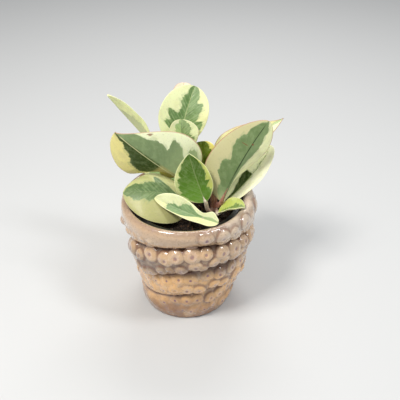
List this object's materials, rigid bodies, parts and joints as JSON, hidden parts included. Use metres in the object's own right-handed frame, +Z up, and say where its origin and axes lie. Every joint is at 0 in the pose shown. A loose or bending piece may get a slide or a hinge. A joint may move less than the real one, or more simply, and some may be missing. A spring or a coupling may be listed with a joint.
{
  "type": "potted peperomia",
  "caption": "Variegated peperomia in a thin nursery pot, standing in a glazed planter wrapped by coils with suckers.",
  "frame": {"origin": "centre of the planter's foot, on the surface that it stands on", "axes": "+Z up, -Y towards the front of the plant, +X to its right"},
  "size_m": [0.1567, 0.1293, 0.1986],
  "materials": {
    "glaze": "glossy tan and ochre glaze, darker in the creases",
    "pot_plastic": "black, satin",
    "soil": "dark crumbly potting mix, matt",
    "stem": "fleshy pinkish brown, satin",
    "leaf": "thick waxy leaf, green and grey-green with cream margins"
  },
  "bodies": {
    "root": {"planter": "glaze", "nursery_pot": "pot_plastic", "soil": "soil", "stem_right": "stem", "stem_left": "stem", "stem_front": "stem", "leaf_front_centre": "leaf", "leaf_front_low": "leaf", "leaf_left_low": "leaf", "leaf_left_yellow": "leaf", "leaf_left_big": "leaf", "leaf_left_back": "leaf", "leaf_top": "leaf", "leaf_top_small": "leaf", "leaf_top_back": "leaf", "leaf_middle_dark": "leaf", "leaf_right_big": "leaf", "leaf_right_low": "leaf", "leaf_right_back": "leaf", "leaf_right_small": "leaf", "leaf_back_left": "leaf", "leaf_back_centre": "leaf", "leaf_back_right": "leaf"}
  },
  "joints": []
}
